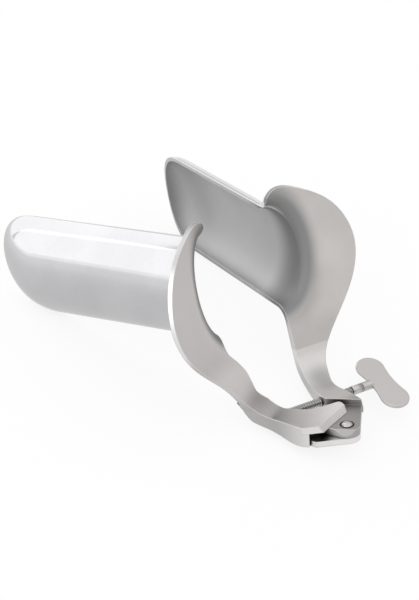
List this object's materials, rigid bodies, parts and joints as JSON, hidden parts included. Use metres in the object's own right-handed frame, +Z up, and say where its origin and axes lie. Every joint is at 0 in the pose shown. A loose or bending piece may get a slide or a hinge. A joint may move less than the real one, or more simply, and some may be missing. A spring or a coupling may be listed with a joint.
{
  "type": "vaginal speculum",
  "caption": "Steel side-screw vaginal speculum: two trough blades with flared mouths on a slotted fork hinge, spread by a wing screw, lying open.",
  "frame": {"origin": "on the floor, under the middle of the whole part as it lies open on its fork and the two blades' noses", "axes": "+Z up from the floor, +Y towards the blades' noses, +X towards the right valve and the wing key"},
  "size_m": [0.1036, 0.1558, 0.0681],
  "materials": {
    "satin_steel": "satin",
    "polished_steel": "polished"
  },
  "bodies": {
    "left": {"left_valve": "satin_steel", "hinge_rivet": "polished_steel"},
    "right": {"right_valve": "satin_steel"},
    "screw": {"screw_spindle": "polished_steel"},
    "wing": {"wing_key": "satin_steel"}
  },
  "joints": [
    {"name": "spread", "type": "hinge", "parent": "left", "child": "right", "pos_m": [0, -0.07136, 0.01144], "axis": [0, -0.3305, -0.9438], "range_deg": [-34.2, 8]},
    {"name": "screw_travel", "type": "slide", "parent": "right", "child": "screw", "axis": [-0.9558, 0.2775, -0.0972], "range_m": [-0.0172, 0.0041]},
    {"name": "screw_turn", "type": "hinge", "parent": "screw", "child": "wing", "pos_m": [0.02508, -0.05868, 0.00673], "axis": [-0.9558, 0.2775, -0.0972], "range_deg": [-5600, 1320]}
  ],
  "couplings": [
    {"joint": "screw_travel", "follows": "spread", "m_per_rad": 0.0285},
    {"joint": "screw_turn", "follows": "spread", "ratio": 162.79}
  ]
}
